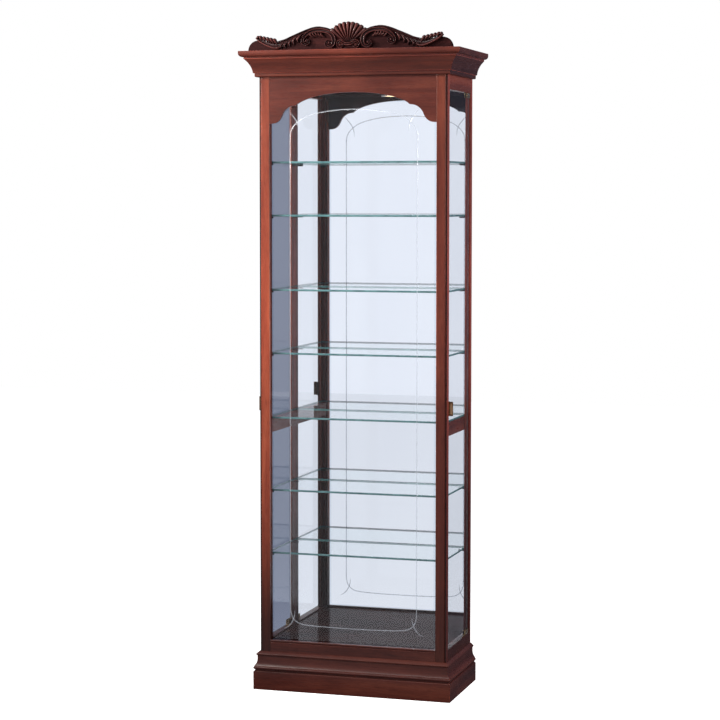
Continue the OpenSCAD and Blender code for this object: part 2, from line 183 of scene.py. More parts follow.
def spline(points, steps):
    """A smooth (Catmull-Rom) curve through the points, which are tuples of the same length."""

    def between(a, b, c, d, t):
        """The value a share t of the way from b to c, where a and d are their neighbours."""
        square = (2 * a - 5 * b + 4 * c - d) * t * t
        cube = (3 * b - a - 3 * c + d) * t**3
        return 0.5 * (2 * b + (c - a) * t + square + cube)

    before = tuple(2 * a - b for a, b in zip(points[0], points[1]))
    after = tuple(2 * a - b for a, b in zip(points[-1], points[-2]))
    p = [before, *points, after]
    curve = []
    for around in zip(p, p[1:], p[2:], p[3:]):
        for k in range(steps):
            curve.append(tuple(between(*values, k / steps) for values in zip(*around)))
    return curve + [tuple(points[-1])]


# Cross-sections of a carved strand: (place across, from -1 to 1, and rise, from 0 to 1)
ROUND = (
    (-1, 0), (-0.93, 0.42), (-0.72, 0.72), (-0.4, 0.93), (0, 1),
    (0.4, 0.93), (0.72, 0.72), (0.93, 0.42), (1, 0),
)
CHANNEL = (
    (-1, 0), (-0.97, 0.6), (-0.84, 0.96), (-0.68, 0.96), (-0.5, 0.62), (-0.2, 0.45),
    (0.2, 0.45), (0.5, 0.62), (0.68, 0.96), (0.84, 0.96), (0.97, 0.6), (1, 0),
)
GROOVE = ((-1, 1), (0, 0), (1, 1))


def strand(bm, face, points, section, side=1, sink=1.0, steps=6, backed=True):
    """Sweeps a section along points of (x, z, half width, height), all in mm from face.

    side is -1 for the mirror image. A backed strand is closed by a flat back that is sunk in the face."""
    path = spline(points, steps)
    rings = []
    for i, (x, z, half, height) in enumerate(path):
        before = path[max(i - 1, 0)]
        after = path[min(i + 1, len(path) - 1)]
        along = Vector((after[0] - before[0], after[1] - before[1])).normalized()
        ring = []
        for across, rise in section:
            offset = half * across
            across_x = side * (x - along.y * offset)
            across_z = z + along.x * offset
            out = sink - (height + sink) * rise
            ring.append(bm.verts.new(face + Vector((across_x, out, across_z)) * MM))
        rings.append(ring)
    count = len(section)
    last = count if backed else count - 1
    for low, high in zip(rings, rings[1:]):
        for i in range(last):
            j = (i + 1) % count
            bm.faces.new((low[i], low[j], high[j], high[i]))
    if backed:
        bm.faces.new(rings[0])
        bm.faces.new(rings[-1])


def button(bm, face, x, z, radius, height, side=1):
    """A round boss on the face, sunk in it."""
    sink = 1.0
    crown = [(radius, 0.3 * height), (0.8 * radius, 0.75 * height), (0.45 * radius, height)]
    profile = [(radius, -sink), *crown]
    lathe(bm, [(r * MM, -h * MM) for r, h in profile], face + Vector((side * x, 0, z)) * MM, "Y", 16)


def spiral(centre, turns):
    """Strand points round a centre, from (angle, radius, half width, height) rows."""
    return [
        (centre[0] + r * math.cos(math.radians(a)), centre[1] + r * math.sin(math.radians(a)), half, height)
        for a, r, half, height in turns
    ]


# ---- materials ----

# One ray meets both faces of a pane, which mirror this many times what one face does
PANE_FACES = 0.6


class Nodes:
    """A material's node tree, with short ways to add and join nodes."""

    def __init__(self, name):
        self.material = bpy.data.materials.new(name)
        self.material.use_nodes = True
        self.tree = self.material.node_tree
        self.tree.nodes.clear()
        self.output = self.tree.nodes.new("ShaderNodeOutputMaterial")

    def add(self, kind, **values):
        node = self.tree.nodes.new("ShaderNode" + kind)
        for key, value in values.items():
            if key in node.inputs:
                node.inputs[key].default_value = value
            else:
                setattr(node, key, value)
        return node

    def link(self, source, target):
        self.tree.links.new(source, target)

    def place(self, scale=(1, 1, 1)):
        """Object coordinates, scaled per axis."""
        where = self.add("TexCoord")
        mapping = self.add("Mapping", Scale=scale)
        self.link(where.outputs["Object"], mapping.inputs["Vector"])
        return mapping.outputs["Vector"]

    def coordinate(self, axis):
        """One object coordinate: X, Y or Z."""
        where = self.add("TexCoord")
        split = self.add("SeparateXYZ")
        self.link(where.outputs["Object"], split.inputs[0])
        return split.outputs[axis]

    def noise(self, place, scale, detail=4.0, roughness=0.5, distortion=0.0):
        node = self.add("TexNoise", Scale=scale, Detail=detail, Roughness=roughness, Distortion=distortion)
        self.link(place, node.inputs["Vector"])
        return node.outputs["Fac"]

    def ramp(self, fac, stops):
        """A colour that changes with fac, through (position, colour) stops."""
        node = self.add("ValToRGB")
        elements = node.color_ramp.elements
        while len(elements) < len(stops):
            elements.new(0.5)
        for element, (position, colour) in zip(elements, stops):
            element.position = position
            element.color = (*colour, 1)
        self.link(fac, node.inputs["Fac"])
        return node.outputs["Color"]

    def grey(self, fac, low, high, start=0.0, end=1.0):
        """A number that goes from low to high while fac goes from start to end."""
        node = self.add("MapRange")
        node.inputs["From Min"].default_value = start
        node.inputs["From Max"].default_value = end
        node.inputs["To Min"].default_value = low
        node.inputs["To Max"].default_value = high
        self.link(fac, node.inputs["Value"])
        return node.outputs["Result"]

    def blend(self, kind, amount, first, second):
        """Two colours mixed by amount; each of the three is a plain value or a socket."""
        node = self.add("Mix", data_type="RGBA", blend_type=kind)
        if isinstance(amount, float):
            node.inputs[0].default_value = amount
        else:
            self.link(amount, node.inputs[0])
        for value, socket in ((first, node.inputs[6]), (second, node.inputs[7])):
            if isinstance(value, tuple):
                socket.default_value = (*value, 1)
            else:
                self.link(value, socket)
        return node.outputs[2]

    def bump(self, height, strength, distance):
        node = self.add("Bump", Strength=strength, Distance=distance)
        self.link(height, node.inputs["Height"])
        return node.outputs["Normal"]

    def pane_mirror(self):
        """How much a thin pane mirrors, both faces together, given where a ray meets its outer face."""
        fresnel = self.add("Fresnel", IOR=1.5)
        geometry = self.add("NewGeometry")
        outer = self.add("Math", operation="SUBTRACT")
        outer.inputs[0].default_value = PANE_FACES
        scaled = self.add("Math", operation="MULTIPLY", use_clamp=True)
        inner = self.add("Math", operation="MULTIPLY")
        inner.inputs[1].default_value = PANE_FACES
        self.link(geometry.outputs["Backfacing"], inner.inputs[0])
        self.link(inner.outputs[0], outer.inputs[1])
        self.link(outer.outputs[0], scaled.inputs[0])
        self.link(fresnel.outputs[0], scaled.inputs[1])
        return scaled.outputs[0]

    def finish(self, shader):
        self.link(shader.outputs[0], self.output.inputs["Surface"])
        return self.material


# The figure of the wood is this many times longer along the grain than across it
GRAIN_STRETCH = 14
# Height at the top of the scale for the painted light and shade that changes with height
TONE_TOP = 2.1


def wood(
    name, deep, middle, bright, grain="Z", figure=26.0, pore=0.5, gloss=0.32, coat=0.12, polish=0.2,
    shine=0.12, relief=0.12, painted_shading_by_height=(), crest_wear_and_highlight=None
):
    """Lacquered cherry: long figure, fine pores, blotches of stain and a satin coat.

    The (height, tone) pairs make the colour darker or lighter with height: painted light and shade. For
    carving, (y of the ground, y of the crests, colour) mixes the crests towards that colour: partly
    rubbed-back wear, partly a painted highlight."""
    m = Nodes(name)
    place = m.place(tuple(1 / GRAIN_STRETCH if axis == grain else 1 for axis in "XYZ"))
    bands = m.noise(place, figure, detail=7, roughness=0.62, distortion=0.6)
    pores = m.noise(place, 420, detail=3, roughness=0.6)
    blotch = m.noise(m.place(), 5.5, detail=3)
    colour = m.ramp(bands, ((0.3, deep), (0.5, middle), (0.72, bright)))
    stain = m.ramp(blotch, ((0.3, (0.62, 0.58, 0.6)), (0.65, (1, 1, 1))))
    colour = m.blend("MULTIPLY", 0.75, colour, stain)
    dark_pore = m.ramp(pores, ((0.36, (0.45, 0.4, 0.4)), (0.5, (1, 1, 1))))
    colour = m.blend("MULTIPLY", pore, colour, dark_pore)
    # Painted light and shade: the colour is made darker or lighter with height, following how the light on
    # the piece falls off
    if painted_shading_by_height:
        stops = [(height / TONE_TOP, (tone, tone, min(1, tone * 1.04))) for height, tone in painted_shading_by_height]
        tone = m.ramp(m.grey(m.coordinate("Z"), 0.0, 1.0, 0.0, TONE_TOP), stops)
        colour = m.blend("MULTIPLY", 1.0, colour, tone)
    # Crests of carving mixed lighter by how far they stand out: partly wear, partly a painted highlight
    if crest_wear_and_highlight:
        ground, crests, rubbed = crest_wear_and_highlight
        colour = m.blend("MIX", m.grey(m.coordinate("Y"), 0.0, 0.85, ground, crests), colour, rubbed)
    shader = m.add("BsdfPrincipled")
    m.link(colour, shader.inputs["Base Color"])
    m.link(m.grey(pores, gloss + 0.12, gloss - 0.05, 0.3, 0.6), shader.inputs["Roughness"])
    shader.inputs["Specular IOR Level"].default_value = shine
    shader.inputs["Coat Weight"].default_value = coat
    shader.inputs["Coat Roughness"].default_value = polish
    m.link(m.bump(pores, relief, 0.2 * MM), shader.inputs["Normal"])
    return m.finish(shader)


def clear_glass(name, tint, smear=0.02):
    """Float glass: clear with a slight tint, mirroring by angle, with faint wipe marks."""
    m = Nodes(name)
    through = m.add("BsdfTransparent", Color=(*tint, 1))
    gloss = m.add("BsdfGlossy", Color=(1, 1, 1, 1))
    wipes = m.noise(m.place((1, 1, 0.3)), 9, detail=2)
    m.link(m.grey(wipes, smear * 0.3, smear, 0.35, 0.65), gloss.inputs["Roughness"])
    mix = m.add("MixShader")
    m.link(m.pane_mirror(), mix.inputs[0])
    m.link(through.outputs[0], mix.inputs[1])
    m.link(gloss.outputs[0], mix.inputs[2])
    return m.finish(mix)


def glass_edge(name, dark, light, roughness=0.12, clear=0.0):
    """Polished edge of float glass, where the green of its thickness shows."""
    m = Nodes(name)
    streak = m.noise(m.place((1, 1, 3)), 32, detail=5, roughness=0.6)
    shader = m.add("BsdfPrincipled", Roughness=roughness)
    m.link(m.ramp(streak, ((0.3, dark), (0.62, light))), shader.inputs["Base Color"])
    m.link(m.bump(streak, 0.05, 0.3 * MM), shader.inputs["Normal"])
    if not clear:
        return m.finish(shader)
    through = m.add("BsdfTransparent", Color=(0.8, 0.85, 0.83, 1))
    mix = m.add("MixShader", Fac=clear)
    m.link(shader.outputs[0], mix.inputs[1])
    m.link(through.outputs[0], mix.inputs[2])
    return m.finish(mix)


def cut_glass(name, colour):
    """Ground V-groove: brighter and duller than the pane it is cut in, and half clear."""
    m = Nodes(name)
    through = m.add("BsdfTransparent", Color=(0.9, 0.93, 0.96, 1))
    shader = m.add("BsdfPrincipled", Metallic=0.3)
    streak = m.noise(m.place(), 180, detail=3)
    darker = tuple(0.8 * c for c in colour)
    m.link(m.ramp(streak, ((0.35, darker), (0.65, colour))), shader.inputs["Base Color"])
    m.link(m.grey(streak, 0.12, 0.3, 0.3, 0.7), shader.inputs["Roughness"])
    mix = m.add("MixShader", Fac=0.42)
    m.link(through.outputs[0], mix.inputs[1])
    m.link(shader.outputs[0], mix.inputs[2])
    return m.finish(mix)


def metal(name, dark, light, roughness, brushed=(1, 1, 1), speck=70.0, metallic=1.0):
    """Metal with brushing along one way, fine handling marks and slight tarnish."""
    m = Nodes(name)
    lines = m.noise(m.place(brushed), 900, detail=3)
    tarnish = m.noise(m.place(), speck, detail=5, roughness=0.65)
    shader = m.add("BsdfPrincipled", Metallic=metallic)
    m.link(m.ramp(tarnish, ((0.32, dark), (0.62, light))), shader.inputs["Base Color"])
    m.link(m.grey(lines, roughness * 0.7, roughness * 1.4, 0.3, 0.7), shader.inputs["Roughness"])
    m.link(m.bump(lines, 0.08, 0.1 * MM), shader.inputs["Normal"])
    return m.finish(shader)


def mirror_glass(name):
    """Silvered glass, with a breath of haze."""
    m = Nodes(name)
    haze = m.noise(m.place((1, 1, 0.5)), 3.5, detail=4)
    shader = m.add("BsdfPrincipled", Metallic=1.0)
    m.link(m.ramp(haze, ((0.3, (0.86, 0.87, 0.9)), (0.7, (0.9, 0.91, 0.93)))), shader.inputs["Base Color"])
    m.link(m.grey(haze, 0.0, 0.012, 0.3, 0.7), shader.inputs["Roughness"])
    return m.finish(shader)


def bare_wood(name, dark, light, grain="X"):
    """Unfinished poplar and plywood, dry and pale."""
    m = Nodes(name)
    along = {"X": (0.08, 1, 1), "Z": (1, 1, 0.08)}[grain]
    bands = m.noise(m.place(along), 60, detail=6, roughness=0.6, distortion=0.4)
    fibre = m.noise(m.place(along), 700, detail=2)
    shader = m.add("BsdfPrincipled")
    m.link(m.ramp(bands, ((0.3, dark), (0.7, light))), shader.inputs["Base Color"])
    m.link(m.grey(fibre, 0.55, 0.85, 0.3, 0.7), shader.inputs["Roughness"])
    m.link(m.bump(fibre, 0.3, 0.3 * MM), shader.inputs["Normal"])
    return m.finish(shader)


def rubber(name, colour):
    """Matt rubber with a fine grit."""
    m = Nodes(name)
    grit = m.noise(m.place(), 1500, detail=2)
    shader = m.add("BsdfPrincipled")
    lighter = tuple(min(1, 2.2 * c + 0.01) for c in colour)
    m.link(m.ramp(grit, ((0.35, colour), (0.75, lighter))), shader.inputs["Base Color"])
    m.link(m.grey(grit, 0.5, 0.8, 0.3, 0.7), shader.inputs["Roughness"])
    m.link(m.bump(grit, 0.3, 0.1 * MM), shader.inputs["Normal"])
    return m.finish(shader)


def frosted_bulb(name):
    """Frosted reflector bulb, glowing warm."""
    m = Nodes(name)
    frost = m.noise(m.place(), 800, detail=2)
    shader = m.add("BsdfPrincipled")
    m.link(m.ramp(frost, ((0.3, (0.9, 0.85, 0.76)), (0.7, (1, 0.96, 0.9)))), shader.inputs["Base Color"])
    m.link(m.grey(frost, 0.3, 0.5, 0.3, 0.7), shader.inputs["Roughness"])
    shader.inputs["Emission Color"].default_value = (1, 0.74, 0.42, 1)
    shader.inputs["Emission Strength"].default_value = 0.6
    return m.finish(shader)


# Colours of the cherry, from the light front frame to the near-black inside. Their differences are partly
# stain and partly painted light and shade: lit parts get a lighter copy, shaded parts a darker one
CHERRY = {"deep": (0.17, 0.032, 0.018), "middle": (0.34, 0.066, 0.034), "bright": (0.49, 0.115, 0.055)}
CASE = {"deep": (0.10, 0.022, 0.014), "middle": (0.2, 0.042, 0.024), "bright": (0.31, 0.075, 0.04)}
RAIL = {"deep": (0.06, 0.014, 0.009), "middle": (0.12, 0.027, 0.018), "bright": (0.19, 0.05, 0.03)}
REAR = {"deep": (0.17, 0.032, 0.024), "middle": (0.31, 0.062, 0.042), "bright": (0.44, 0.1, 0.064)}
BASE = {"deep": (0.04, 0.01, 0.008), "middle": (0.085, 0.02, 0.014), "bright": (0.14, 0.036, 0.023)}
CARVED = {"deep": (0.014, 0.004, 0.004), "middle": (0.03, 0.008, 0.008), "bright": (0.055, 0.014, 0.012)}
DARK = {"deep": (0.016, 0.009, 0.009), "middle": (0.034, 0.014, 0.013), "bright": (0.06, 0.022, 0.018)}
# Colours of eased edges, lighter than their faces: partly wear, partly a painted highlight
WEAR_AND_HIGHLIGHT = {"deep": (0.3, 0.1, 0.06), "middle": (0.42, 0.15, 0.095), "bright": (0.52, 0.2, 0.13)}

# Painted light and shade by height, as (height, tone): each piece is darker where less light falls on it
LEFT_TONES = (
    (0.15, 0.12), (0.2, 0.14), (0.35, 0.4), (0.55, 0.76),
    (0.85, 0.92), (1.15, 1.0), (1.45, 0.74), (1.75, 0.5),
)
# The right stile gets less light than the left, so its painted shade is darker
RIGHT_TONES = ((0.2, 0.35), (0.35, 0.5), (0.55, 0.62), (1.0, 0.62), (1.3, 0.74), (1.75, 0.58))
SIDE_TONES = ((0.15, 0.3), (0.45, 0.5), (0.85, 0.8), (1.25, 1.0), (1.75, 0.85))
# Painted shade in the cove and under the fillet of the cornice
CORNICE_TONES = ((1.86, 0.6), (1.872, 0.42), (1.903, 0.45), (1.912, 0.7), (1.93, 0.76))
# Painted shade on the top rail, darker towards the cornice
TOP_RAIL_TONES = ((1.7, 0.8), (1.85, 0.74))
# Painted shade on the base: darker above its lowest few centimetres
BASE_TONES = ((0.03, 1.0), (0.08, 0.74))
BOARD_TONES = ((1.9, 1.0), (2.02, 0.95))
# The carving's ground and its crests, and the lighter colour the crests are mixed towards: partly rubbed-back
# wear, partly a painted highlight
CARVING_CREST_WEAR_AND_HIGHLIGHT = (-0.1655, -0.1775, (0.19, 0.052, 0.044))

stile_wood = wood("cherry_upright", **CHERRY, grain="Z", painted_shading_by_height=LEFT_TONES)
# The right stile is a darker copy of the left stile's cherry: painted shade, because it gets less light
stile_wood_right_shaded = wood("cherry_upright_right_painted_shade", **CASE, grain="Z", painted_shading_by_height=RIGHT_TONES)
rear_wood = wood("cherry_rear_upright", **REAR, grain="Z", coat=0.0, painted_shading_by_height=SIDE_TONES)
rail_wood = wood("cherry_rail", **RAIL, grain="X", figure=34, coat=0.08, painted_shading_by_height=TOP_RAIL_TONES)
low_rail_wood = wood("cherry_low_rail", **BASE, grain="X", figure=34)
case_upright = wood("cherry_case_upright", **CASE, grain="Z", painted_shading_by_height=SIDE_TONES)
case_long = wood("cherry_case_long", **CASE, grain="Y", coat=0.04, painted_shading_by_height=SIDE_TONES)
cornice_x = wood("cherry_cornice_x", **CASE, grain="X", coat=0.12, painted_shading_by_height=CORNICE_TONES)
cornice_y = wood("cherry_cornice_y", **BASE, grain="Y", coat=0.04, painted_shading_by_height=CORNICE_TONES)
base_x = wood("cherry_base_x", **RAIL, grain="X", coat=0.15, painted_shading_by_height=BASE_TONES)
base_y = wood("cherry_base_y", **BASE, grain="Y", coat=0.03)
# Eased edges made lighter: partly wear, partly a painted highlight
edge_wear_and_highlight = wood("cherry_rubbed_edge", **WEAR_AND_HIGHLIGHT, grain="Z", gloss=0.22, coat=0.1, painted_shading_by_height=LEFT_TONES)
dark_edge_wear_and_highlight = wood("cherry_dark_rubbed", **REAR, grain="X", gloss=0.22, coat=0.3)
base_edge_wear_and_highlight = wood("cherry_base_rubbed", **CASE, grain="X", gloss=0.22, coat=0.25)
carved_wood = wood(
    "cherry_carved", **CARVED, grain="X", figure=60, gloss=0.4, coat=0.35, polish=0.12, shine=0.04,
    crest_wear_and_highlight=CARVING_CREST_WEAR_AND_HIGHLIGHT
)
board_wood = wood(
    "cherry_board", **CARVED, grain="X", figure=50, gloss=0.5, coat=0.0, shine=0.04, painted_shading_by_height=BOARD_TONES
)
# Near-black wood for faces in shade: the faces looking into the case and the front faces of the front posts
# in the reveal; painted shade
painted_shade_wood = wood("painted_shade_wood", **DARK, grain="Z", gloss=0.4, coat=0.0)
panel_wood = wood(
    "dark_panel", **DARK, grain="X", pore=0.04, gloss=0.22, coat=0.2, polish=0.1, shine=0.0, relief=0.004
)
roof_wood = wood("roof_panel_wood", **CASE, grain="X", gloss=0.45, coat=0.0)
plywood = bare_wood("back_plywood", (0.36, 0.22, 0.12), (0.56, 0.38, 0.22), "Z")
poplar = bare_wood("poplar", (0.42, 0.3, 0.17), (0.62, 0.47, 0.3), "X")
pane_glass = clear_glass("pane_glass", (0.975, 0.985, 0.99))
bevel_glass = clear_glass("bevel_glass", (0.86, 0.9, 0.93), smear=0.05)
shelf_clear = clear_glass("shelf_glass_face", (0.94, 0.965, 0.965), smear=0.03)
pane_edge = glass_edge("pane_edge", (0.05, 0.06, 0.055), (0.34, 0.36, 0.34), clear=0.82)
shelf_edge = glass_edge("shelf_edge", (0.035, 0.11, 0.12), (0.12, 0.27, 0.28))
groove_glass = cut_glass("groove_glass", (0.6, 0.63, 0.67))
silver = mirror_glass("silvered_glass")
mirror_back = metal("mirror_back_paint", (0.05, 0.07, 0.08), (0.08, 0.1, 0.11), 0.5, metallic=0.0)
brass = metal("polished_brass", (0.36, 0.24, 0.11), (0.72, 0.54, 0.3), 0.22, (1, 1, 0.1))
# Tan of the strip on the pull's face: a painted highlight
pull_tan = metal("pull_tan_painted_highlight", (0.24, 0.14, 0.07), (0.4, 0.25, 0.13), 0.3, metallic=0.5)
brass_dark = metal("aged_brass", (0.06, 0.03, 0.018), (0.16, 0.09, 0.045), 0.32, (1, 1, 0.1))
steel = metal("zinc_steel", (0.3, 0.3, 0.31), (0.58, 0.58, 0.6), 0.3, (1, 1, 0.2))
lamp_metal = metal("lamp_can_metal", (0.46, 0.46, 0.45), (0.74, 0.73, 0.7), 0.28, (1, 1, 0.1), metallic=0.7)
black_rubber = rubber("black_rubber", (0.012, 0.012, 0.014))
bulb_glow = frosted_bulb("frosted_bulb")


# ---- wooden case ----

# Places in a piece's list of materials: its eased edges, made lighter as partly wear and partly a painted
# highlight, and its faces that look into the case, painted near-black as shade
EDGE_WEAR_AND_HIGHLIGHT = 1
SHADED_INNER_FACE = 2

for side, upright in (("left", stile_wood), ("right", stile_wood_right_shaded)):
    stile_materials = [upright, edge_wear_and_highlight, painted_shade_wood]
    finished("front_stile_" + side, stile_materials, 1.6 * MM, 3, EDGE_WEAR_AND_HIGHLIGHT, SHADED_INNER_FACE)
    # The front posts' front faces, deep in the reveal, are painted near-black as shadow
    finished("front_post_" + side, [rear_wood, painted_shade_wood], 0.9 * MM, 2, front_material=1)
    finished("rear_post_" + side, [rear_wood], 1.2 * MM)
    finished("side_top_rail_" + side, [case_long], 0.8 * MM)
    finished("side_middle_rail_" + side, [case_long], 0.8 * MM)
    finished("side_bottom_rail_" + side, [case_long], 1.2 * MM)
    finished("cornice_" + side, [cornice_y, dark_edge_wear_and_highlight], 0.8 * MM, 2, EDGE_WEAR_AND_HIGHLIGHT)
    finished("base_moulding_" + side, [base_y, base_edge_wear_and_highlight], 0.8 * MM, 2, EDGE_WEAR_AND_HIGHLIGHT)
    finished("plinth_" + side, [base_y, base_edge_wear_and_highlight], 1.2 * MM, 2, EDGE_WEAR_AND_HIGHLIGHT)

rail_materials = [rail_wood, dark_edge_wear_and_highlight, painted_shade_wood]
finished("arched_top_rail", rail_materials, 1.1 * MM, 2, EDGE_WEAR_AND_HIGHLIGHT, SHADED_INNER_FACE)
finished("front_bottom_rail", [low_rail_wood, base_edge_wear_and_highlight], 1.2 * MM, 2, EDGE_WEAR_AND_HIGHLIGHT)
finished("cornice_front", [cornice_x, dark_edge_wear_and_highlight], 0.8 * MM, 2, EDGE_WEAR_AND_HIGHLIGHT)
finished("base_moulding_front", [base_x, base_edge_wear_and_highlight], 0.8 * MM, 2, EDGE_WEAR_AND_HIGHLIGHT)
finished("plinth_front", [base_x, base_edge_wear_and_highlight], 1.2 * MM, 2, EDGE_WEAR_AND_HIGHLIGHT)
finished("floor_panel", [panel_wood], 0.6 * MM)
finished("ceiling_panel", [panel_wood], 0.6 * MM)
finished("door_stops", [case_upright], 0.8 * MM)
finished("glass_stops", [case_upright], 1.2 * MM)
finished("roof_panel", [roof_wood], 0.6 * MM)
finished("top_back_rail", [poplar], 1.0 * MM)
finished("plinth_back", [poplar], 1.0 * MM)
finished("corner_blocks", [poplar], 1.0 * MM)


# ---- glass ----


def pane(name, node, face_material, edge_material, thin_axis, arris=0.7 * MM):
    """A glass plate with ground arrises; its two large faces are clear and its edges show green."""
    low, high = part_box(node)
    bm = bmesh.new()
    faces = add_box(bm, low, high, 1)
    for face in faces:
        face.normal_update()
        if abs(face.normal[thin_axis]) > FACING:
            face.material_index = 0
    piece = new_piece(name, bm, [face_material, edge_material], BODY_OF[node], (node,))
    return round_edges(piece, arris, 1, edge_material=1)


for number in range(1, 8):
    node = f"shelf_{number}"
    pane(node + "_plate", node, shelf_clear, shelf_edge, 2)
for side in ("left", "right"):
    node = side + "_door_glass"
    pane(side + "_door_plate", node, pane_glass, pane_edge, 0)


BEVEL_WIDTH = 16 * MM
BEVEL_DEPTH = 1.6 * MM
# Grooves of the border, in mm: their depth, half width and how far their rims stay in the pane's face
GROOVE_DEPTH = 0.8
GROOVE_HALF = 1.6
GROOVE_RIM = -0.05


def front_pane(node):
    """The fixed front pane: its four edges are ground to a wide bevel on the front face."""
    low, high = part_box(node)
    bm = bmesh.new()
    rings = []
    for inset, y in ((0, high.y), (0, low.y + BEVEL_DEPTH), (BEVEL_WIDTH, low.y)):
        left, right = low.x + inset, high.x - inset
        bottom, top = low.z + inset, high.z - inset
        corners = ((left, bottom), (right, bottom), (right, top), (left, top))
        rings.append([bm.verts.new((x, y, z)) for x, z in corners])
    for material, (back, front) in enumerate(zip(rings, rings[1:]), start=1):
        for i in range(4):
            j = (i + 1) % 4
            bm.faces.new((back[i], back[j], front[j], front[i])).material_index = material
    bm.faces.new(rings[0])
    bm.faces.new(rings[-1])
    bmesh.ops.recalc_face_normals(bm, faces=bm.faces)
    materials = [pane_glass, pane_edge, bevel_glass]
    return new_piece("front_glass_plate", bm, materials, BODY_OF[node], (node,), smooth=False)


def engraved_border(node):
    """V-grooves in the front pane: a border with rounded corners and a low arch, crossed at each corner."""
    face = Vector((0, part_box(node)[0].y, 0))
    bm = bmesh.new()
    border = (
        (0, 199), (60, 199.5), (120, 201), (160, 204), (178, 210), (190, 220), (197, 236), (199, 256),
        (199, 300), (199, 700), (199, 1200), (199, 1640), (199, 1684), (196, 1702), (188, 1716), (176, 1728),
        (158, 1740), (130, 1750), (95, 1757.5), (50, 1763), (0, 1765),
    )
    crossings = (
        ((203, 1762), (194, 1752), (184, 1740), (177, 1728), (173, 1714), (172, 1699)),
        ((220, 188), (207, 195), (197, 205), (190, 218), (186, 232), (185, 246)),
    )
    tapered = (0.4, 1.3, GROOVE_HALF, GROOVE_HALF, 1.3, 0.4)
    for side in (-1, 1):
        cuts = [[(x, z, GROOVE_HALF, GROOVE_RIM) for x, z in border]]
        for crossing in crossings:
            cuts.append([(x, z, half, GROOVE_RIM) for (x, z), half in zip(crossing, tapered)])
        for cut in cuts:
            strand(bm, face, cut, GROOVE, side, GROOVE_DEPTH, 4, backed=False)
    return new_piece("front_glass_grooves", bm, [groove_glass], BODY_OF[node])


front_pane("front_glass")
engraved_border("front_glass")


# ---- carved pediment ----

# Where the carving stands: its points are mm to the side of the middle and up from the board's foot
board_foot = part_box("pediment_board")[0]
CARVED_FACE = Vector((0, board_foot.y, board_foot.z))
# Ribs under the C-scroll and lobes along the leaf, with the pitch of each
RIBS = 5
RIB_PITCH = 8.5
LOBES = 5
LOBE_PITCH = 11


